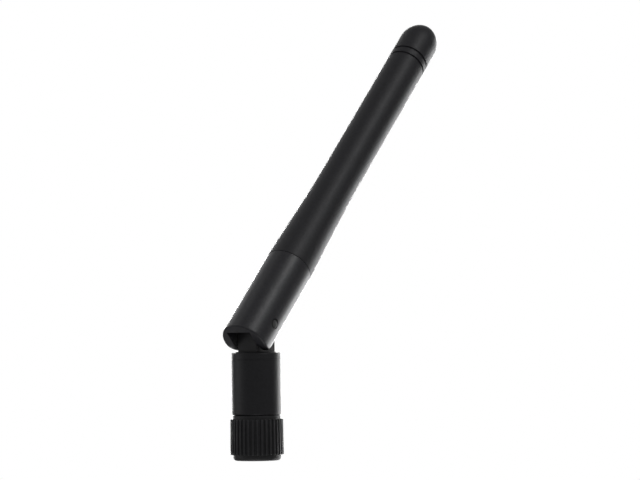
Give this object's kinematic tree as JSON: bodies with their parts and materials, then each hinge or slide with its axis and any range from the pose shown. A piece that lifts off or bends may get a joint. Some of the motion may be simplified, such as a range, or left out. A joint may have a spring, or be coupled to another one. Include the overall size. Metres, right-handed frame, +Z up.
{
  "type": "omnidirectional antenna",
  "caption": "Straight tapered whip antenna with a domed tip, on a tilting hinge and a swivelling stem, with a ribbed coaxial coupling nut.",
  "frame": {"origin": "centre of the coupling nut's mouth, on the stem's axis", "axes": "+Z up the stem from the nut's mouth; the tilt hinge turns about Y; the arm leans towards +X, 45 degrees from straight at rest"},
  "size_m": [0.0668, 0.01, 0.0856],
  "materials": {
    "gold_brass": "gold plated, bright turned",
    "plain_brass": "drawn brass, slightly dull",
    "ptfe": "white, waxy",
    "spring_steel": "plain spring steel",
    "gasket_rubber": "soft red-brown silicone",
    "tinned_copper": "tinned, fine strands",
    "solder": "satin solder",
    "heat_shrink": "thin black heat-shrink",
    "coax_jacket": "smooth black jacket",
    "grip_plastic": "moulded, matte, sharp ribs",
    "stem_plastic": "moulded, fine spark texture",
    "housing_plastic": "moulded, fine spark texture, slightly satin",
    "radome_plastic": "moulded, fine spark texture, matte",
    "black_steel": "black oxide"
  },
  "bodies": {
    "connector": {"connector_body": "gold_brass", "contact_insulator": "ptfe", "centre_contact": "gold_brass", "retaining_ring": "spring_steel", "sealing_gasket": "gasket_rubber", "braid_flare": "tinned_copper", "crimp_ferrule": "gold_brass", "crimp_heat_shrink": "heat_shrink"},
    "coupling_nut": {"nut_insert": "gold_brass", "nut_grip": "grip_plastic"},
    "swivel_base": {"swivel_sleeve": "stem_plastic", "friction_washer": "spring_steel", "hinge_knuckle": "stem_plastic"},
    "arm": {"hinge_housing": "housing_plastic", "hinge_pin_left": "black_steel", "hinge_pin_right": "black_steel", "radome": "radome_plastic", "coax_jacket": "coax_jacket", "coax_braid": "tinned_copper", "coax_dielectric": "ptfe", "coax_conductor": "tinned_copper", "ground_sleeve": "plain_brass", "sleeve_solder": "solder", "sleeve_ring_lower": "ptfe", "sleeve_ring_upper": "ptfe", "radiator_rod": "plain_brass", "feed_heat_shrink": "heat_shrink", "rod_spacer": "ptfe"}
  },
  "joints": [
    {"name": "nut_spin", "type": "hinge", "parent": "connector", "child": "coupling_nut", "pos_m": [0, 0, 0.004], "axis": [0, 0, 1], "continuous": true},
    {"name": "base_swivel", "type": "hinge", "parent": "connector", "child": "swivel_base", "pos_m": [0, 0, 0.0143], "axis": [0, 0, 1], "range_deg": [-180, 180]},
    {"name": "arm_tilt", "type": "hinge", "parent": "swivel_base", "child": "arm", "pos_m": [0, 0, 0.02544], "axis": [0, 1, 0], "range_deg": [-45, 45], "deforming": ["coax_jacket", "coax_braid", "coax_dielectric", "coax_conductor"]}
  ]
}
